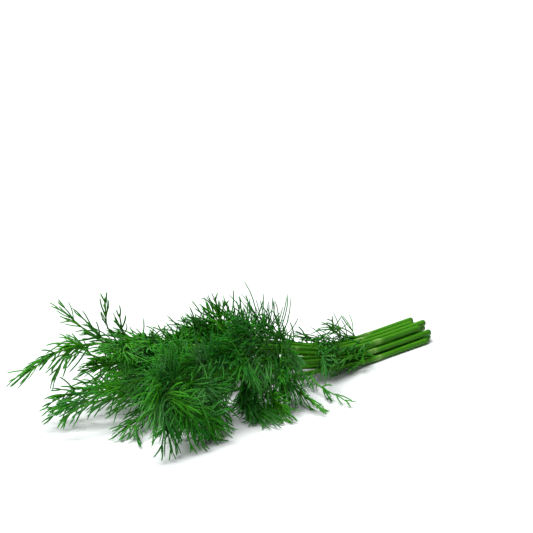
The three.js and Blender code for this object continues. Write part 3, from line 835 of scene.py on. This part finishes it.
# Pale grey-green patches, partly a waxy bloom and partly painted sheen that stands in for soft
# highlights.
BLOOM_AND_SHEEN = (0.090, 0.230, 0.085, 1)
BLOOM_AND_SHEEN_SHARE = 0.42
BLOOM_AND_SHEEN_NOISE = (70, 2)
BLOOM_AND_SHEEN_CONTRAST, BLOOM_AND_SHEEN_START = 5.0, -2.4  # noise * contrast + start, held between 0 and 1
STEM_OLD = (0.034, 0.180, 0.006, 1)
STEM_YOUNG = (0.070, 0.260, 0.009, 1)
GROOVE = (0.018, 0.100, 0.004, 1)
GROOVE_SHARE = 0.6
NODE = (0.30, 0.52, 0.14, 1)
NODE_SHARE = 0.5
PITH = (0.62, 0.72, 0.40, 1)
ROUGHNESS, BLOOM_ROUGHNESS = 0.36, 0.16  # without bloom, and what full bloom adds
SHEEN_LEVEL = 0.07
LIGHT_THROUGH, LIGHT_RADIUS, LIGHT_DEPTH = 0.5, (0.3, 1.0, 0.2), 0.0006  # green light goes furthest
SKIN_NOISE = (1500, 2)
SKIN_BUMP = {"Strength": 0.25, "Distance": 0.0001}


def dill_material():
    """One green for stems, stalks and threads, mixed from the mesh's values."""
    material = bpy.data.materials.new("dill_green")
    material.use_nodes = True
    tree = material.node_tree
    shader = tree.nodes["Principled BSDF"]

    youth = math_node(tree, "ADD", value_of(tree, "youth"), noise_of(tree, *GREEN_NOISE), clamp=True)
    # The mask of the pale patches: waxy bloom together with painted sheen.
    bloom_and_sheen = math_node(tree, "MULTIPLY_ADD", noise_of(tree, *BLOOM_AND_SHEEN_NOISE), BLOOM_AND_SHEEN_CONTRAST, clamp=True,
                      c=BLOOM_AND_SHEEN_START)
    leaf = mix_color(tree, youth, LEAF_OLD, LEAF_YOUNG)
    leaf = mix_color(tree, part_of(tree, value_of(tree, "along"), THREAD_END_SHARE), leaf, THREAD_END)
    leaf = mix_color(tree, part_of(tree, bloom_and_sheen, BLOOM_AND_SHEEN_SHARE), leaf, BLOOM_AND_SHEEN)
    stem = mix_color(tree, youth, STEM_OLD, STEM_YOUNG)
    stem = mix_color(tree, part_of(tree, value_of(tree, "groove"), GROOVE_SHARE), stem, GROOVE)
    stem = mix_color(tree, part_of(tree, value_of(tree, "node"), NODE_SHARE), stem, NODE)
    stem = mix_color(tree, value_of(tree, "pith"), stem, PITH)

    bump = tree.nodes.new("ShaderNodeBump")
    feed(tree, [bump.inputs[name] for name in SKIN_BUMP], SKIN_BUMP.values())
    tree.links.new(noise_of(tree, *SKIN_NOISE), bump.inputs["Height"])

    inputs = {
        "Base Color": mix_color(tree, value_of(tree, "thread"), stem, leaf),
        "Roughness": math_node(tree, "MULTIPLY_ADD", bloom_and_sheen, BLOOM_ROUGHNESS, c=ROUGHNESS),
        "Normal": bump.outputs["Normal"],
        "Specular IOR Level": SHEEN_LEVEL,
        "Subsurface Weight": LIGHT_THROUGH,
        "Subsurface Radius": LIGHT_RADIUS,
        "Subsurface Scale": LIGHT_DEPTH,
    }
    feed(tree, [shader.inputs[name] for name in inputs], inputs.values())
    return material


dill_green = dill_material()
print("the dill material has", len(dill_green.node_tree.nodes), "nodes")

# %% [markdown]
# ## Each stem in its solid's place
#
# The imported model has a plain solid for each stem. Both could be shown, but then the plain threads
# would stick out between the fine ones. So each piece replaces its own solid, moves with the same
# body, and names the record's finish that it stands for.

# %% The finish and the frame
for number, piece in enumerate(pieces):
    piece.data.materials.append(dill_green)
    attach(piece, "root")
    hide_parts(f"dill_stem_{number + 1:02d}")
print("finish on", len(pieces), "pieces")

# %% [markdown]
# ## A white floor
#
# The bunch lies on plain white board that goes on out of sight. A curved backdrop would hide its far
# edge, but a large flat one does too, because board and room are both so bright that they meet
# without a line. The board itself is a light grey, so that the soft shadow on it is not burnt out.

# %% Floor
FLOOR_SIZE = 6.0
FLOOR_COLOR = (0.64, 0.663, 0.663, 1)
FLOOR_ROUGHNESS = 0.9

board = bpy.data.meshes.new("floor")
half = FLOOR_SIZE / 2
corners = [(-half, -half, 0), (half, -half, 0), (half, half, 0), (-half, half, 0)]
board.from_pydata(corners, [], [(0, 1, 2, 3)])
floor = bpy.data.objects.new("floor", board)
bpy.context.scene.collection.objects.link(floor)
white = bpy.data.materials.new("white_board")
white.use_nodes = True
paint = white.node_tree.nodes["Principled BSDF"].inputs
paint["Base Color"].default_value = FLOOR_COLOR
paint["Roughness"].default_value = FLOOR_ROUGHNESS
board.materials.append(white)
print("floor of", FLOOR_SIZE, "m")

# %% [markdown]
# ## Soft daylight
#
# The light is that of a white studio: one very large soft light high above and behind the bunch,
# which draws its outline and keeps the shadow under it short and pale, and a small one low at the
# side of the leaves. A bright world alone would light every thread from all sides and lose the depth
# between them. So the room gives only a little light, and a Light Path node makes it look plain white
# where the camera sees it. The large light stands far off, which keeps the floor evenly bright up to
# its far edge.

# %% The white room
ROOM_LIGHT = 0.18  # how much light the walls give
world = bpy.data.worlds.new("white_room")
bpy.context.scene.world = world
world.use_nodes = True
room = world.node_tree
room.nodes["Background"].inputs["Color"].default_value = (1, 1, 1, 1)
seen = room.nodes.new("ShaderNodeLightPath").outputs["Is Camera Ray"]
strength = math_node(room, "MAXIMUM", seen, ROOM_LIGHT)
room.links.new(strength, room.nodes["Background"].inputs["Strength"])
print("the room gives", ROOM_LIGHT, "and looks like 1")

# %% Lamps
LAMPS = {  # place and size in metres, and power in watts
    "overhead": ((-2.40, 1.98, 9.9), 7.2, 2080),
    "side": ((-1.1, -0.4, 0.9), 0.7, 10),
}


def soft_light(name, place, size, watts):
    """A square area light at place that faces the bunch."""
    lamp = bpy.data.lights.new(name, "AREA")
    lamp.size = size
    lamp.energy = watts
    light = bpy.data.objects.new(name, lamp)
    light.location = place
    light.rotation_mode = "QUATERNION"
    light.rotation_quaternion = (Vector(place) * -1).to_track_quat("-Z", "Y")
    bpy.context.scene.collection.objects.link(light)


for name, (place, size, watts) in LAMPS.items():
    soft_light(name, place, size, watts)
    print(name, "light of", watts, "W,", round(Vector(place).length, 1), "m off")

# %% [markdown]
# ## The camera
#
# The bunch is seen from low in front, with the leaves near and the stems running away. A camera could
# follow a target with a Track To constraint. Two angles and a distance say the same and can be read:
# it stands at aim + distance * (sin az cos el, -cos az cos el, sin el) and looks back along that
# line. Standard as the view transform keeps the white of the board white.

# %% Camera
CAMERA_AZIMUTH = math.radians(-38)
CAMERA_ELEVATION = math.radians(14)
CAMERA_DISTANCE = 0.9
CAMERA_AIM = Vector((-0.0205, -0.0276, 0.0743))
CAMERA_LENS = 127.7
CAMERA_SENSOR = 36

camera_data = bpy.data.cameras.new("camera")
camera_data.lens = CAMERA_LENS
camera_data.sensor_width = CAMERA_SENSOR
camera = bpy.data.objects.new("camera", camera_data)
bpy.context.scene.collection.objects.link(camera)
away = Vector((math.sin(CAMERA_AZIMUTH) * math.cos(CAMERA_ELEVATION),
               -math.cos(CAMERA_AZIMUTH) * math.cos(CAMERA_ELEVATION),
               math.sin(CAMERA_ELEVATION)))
camera.location = CAMERA_AIM + away * CAMERA_DISTANCE
camera.rotation_mode = "QUATERNION"
camera.rotation_quaternion = (-away).to_track_quat("-Z", "Y")
bpy.context.scene.camera = camera
bpy.context.scene.view_settings.view_transform = "Standard"
print("camera at", [round(v, 3) for v in camera.location], "m")
